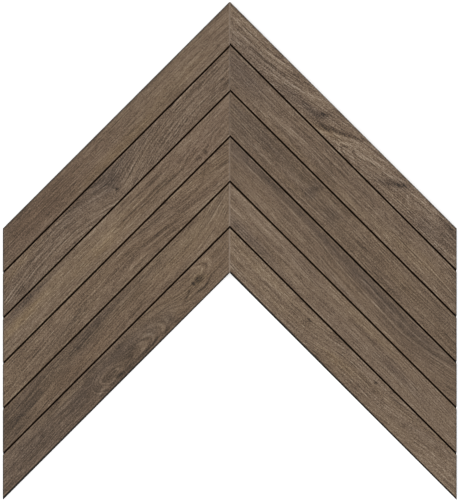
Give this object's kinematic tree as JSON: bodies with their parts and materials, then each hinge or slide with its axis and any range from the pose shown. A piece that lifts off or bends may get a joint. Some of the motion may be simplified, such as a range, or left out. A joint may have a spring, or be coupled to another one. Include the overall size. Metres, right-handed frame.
{
  "type": "chevron porcelain mosaic sheet",
  "caption": "V-shaped mosaic sheet of parallel wood-look porcelain slats, mitred at a centre seam and held on one backing with open joints.",
  "frame": {"origin": "middle of the sheet's box, on the plane of its underside", "axes": "+Y towards the crest of the V, +X along its width to the right, +Z out of the printed face"},
  "size_m": [0.362, 0.3975, 0.0098],
  "materials": {
    "wood_look_porcelain": "matt printed glaze with shallow wood grain relief",
    "mesh_backing": "glass-fibre mesh bedded in dark adhesive"
  },
  "bodies": {
    "root": {"mesh_backing": "mesh_backing", "left_slat_1": "wood_look_porcelain", "left_slat_2": "wood_look_porcelain", "left_slat_3": "wood_look_porcelain", "left_slat_4": "wood_look_porcelain", "left_slat_5": "wood_look_porcelain", "left_slat_6": "wood_look_porcelain", "right_slat_1": "wood_look_porcelain", "right_slat_2": "wood_look_porcelain", "right_slat_3": "wood_look_porcelain", "right_slat_4": "wood_look_porcelain", "right_slat_5": "wood_look_porcelain", "right_slat_6": "wood_look_porcelain"}
  },
  "joints": []
}
